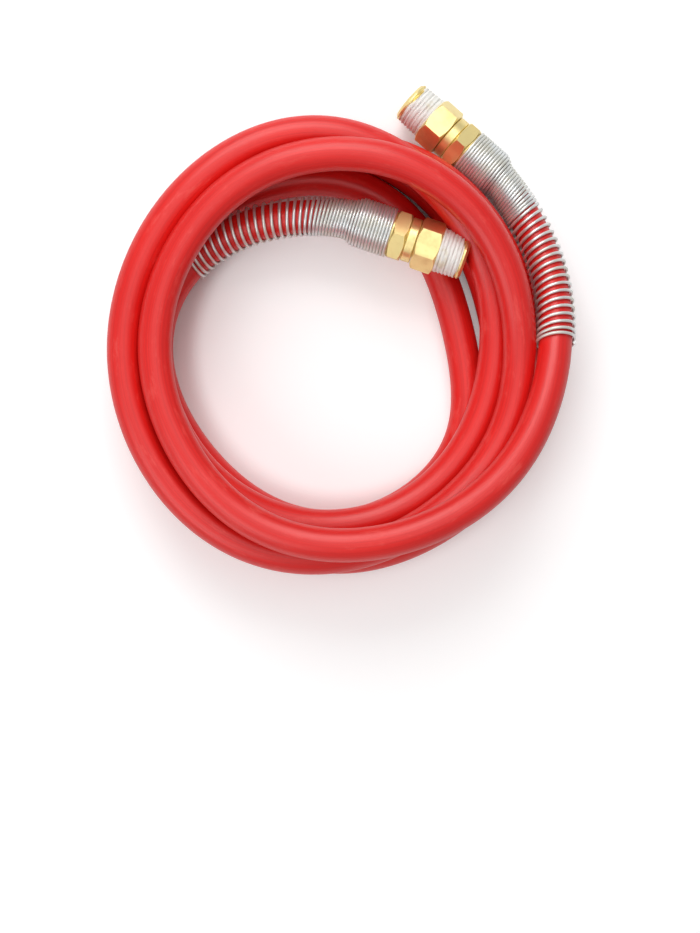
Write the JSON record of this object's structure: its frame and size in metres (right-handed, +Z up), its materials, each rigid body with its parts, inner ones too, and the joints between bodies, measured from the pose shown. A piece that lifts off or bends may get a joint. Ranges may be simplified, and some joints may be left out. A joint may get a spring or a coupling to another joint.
{
  "type": "coiled air hose",
  "caption": "Red nylon recoil air hose lying in a loose coil, with a swivelling brass pipe-thread fitting and a steel spring guard at each end.",
  "frame": {"origin": "centre of the bounding box at the surface that the coil lies on", "axes": "+Z up, through the coil; +X to the right and +Y to the top as the coil is seen from above with the outer fitting at the upper right"},
  "size_m": [0.2277, 0.2286, 0.0636],
  "materials": {
    "red_nylon": "satin",
    "machined_brass": "machined",
    "plated_steel": "zinc plated wire",
    "dried_sealant": "dried paste",
    "seal_rubber": "matte"
  },
  "bodies": {
    "hose": {"hose_coil": "red_nylon", "hose_low_turn": "red_nylon", "hose_inner_turn": "red_nylon", "hose_outer_tail": "red_nylon", "hose_inner_tail": "red_nylon", "outer_stem": "machined_brass", "outer_o_ring": "seal_rubber", "outer_retaining_ring": "plated_steel", "outer_grip_sleeve": "machined_brass", "outer_clamp_nut": "machined_brass", "outer_spring_guard": "plated_steel", "inner_stem": "machined_brass", "inner_o_ring": "seal_rubber", "inner_retaining_ring": "plated_steel", "inner_grip_sleeve": "machined_brass", "inner_clamp_nut": "machined_brass", "inner_spring_guard": "plated_steel"},
    "outer_swivel_nipple": {"outer_nipple": "machined_brass", "outer_thread_sealant": "dried_sealant"},
    "inner_swivel_nipple": {"inner_nipple": "machined_brass", "inner_thread_sealant": "dried_sealant"}
  },
  "joints": [
    {"name": "outer_swivel", "type": "hinge", "parent": "hose", "child": "outer_swivel_nipple", "pos_m": [0.04809, 0.09394, 0.01302], "axis": [-0.749, 0.6626, 0], "continuous": true},
    {"name": "inner_swivel", "type": "hinge", "parent": "hose", "child": "inner_swivel_nipple", "pos_m": [0.04049, 0.03443, 0.03132], "axis": [0.9455, -0.3256, 0], "continuous": true}
  ]
}
